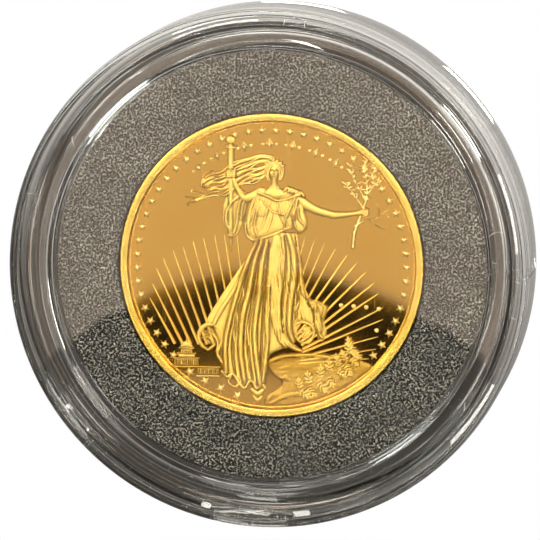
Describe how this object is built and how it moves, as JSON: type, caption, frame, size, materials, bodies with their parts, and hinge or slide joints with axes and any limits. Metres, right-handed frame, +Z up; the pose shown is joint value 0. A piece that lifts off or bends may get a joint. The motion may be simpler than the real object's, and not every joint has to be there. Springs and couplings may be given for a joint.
{
  "type": "coin capsule",
  "caption": "Round clear snap-together capsule with a sunken window on each side, holding a reeded gold coin in a black grained ring.",
  "frame": {"origin": "centre of the bottom land, the flat ring that the capsule lies on", "axes": "+Z up out of the coin's face and along the way the lid lifts, +Y towards the top of the coin's design, +X to its right"},
  "size_m": [0.0372, 0.0372, 0.007],
  "materials": {
    "clear_base": "clear polished",
    "black_grain": "pebbled, low sheen",
    "coin_gold": "mirror field with frosted relief",
    "clear_lid": "clear polished"
  },
  "bodies": {
    "base": {"base_shell": "clear_base"},
    "lid": {"lid_shell": "clear_lid"},
    "ring": {"gasket_ring": "black_grain"},
    "coin": {"coin": "coin_gold"}
  },
  "joints": [
    {"name": "lid_lift", "type": "slide", "parent": "base", "child": "lid", "axis": [0, 0, 1], "range_m": [0, 0.04]},
    {"name": "ring_lift", "type": "slide", "parent": "base", "child": "ring", "axis": [0, 0, 1], "range_m": [0, 0.012]},
    {"name": "coin_lift", "type": "slide", "parent": "base", "child": "coin", "axis": [0, 0, 1], "range_m": [0, 0.024]}
  ],
  "couplings": [
    {"joint": "ring_lift", "follows": "lid_lift", "ratio": 0.3},
    {"joint": "coin_lift", "follows": "lid_lift", "ratio": 0.6}
  ]
}
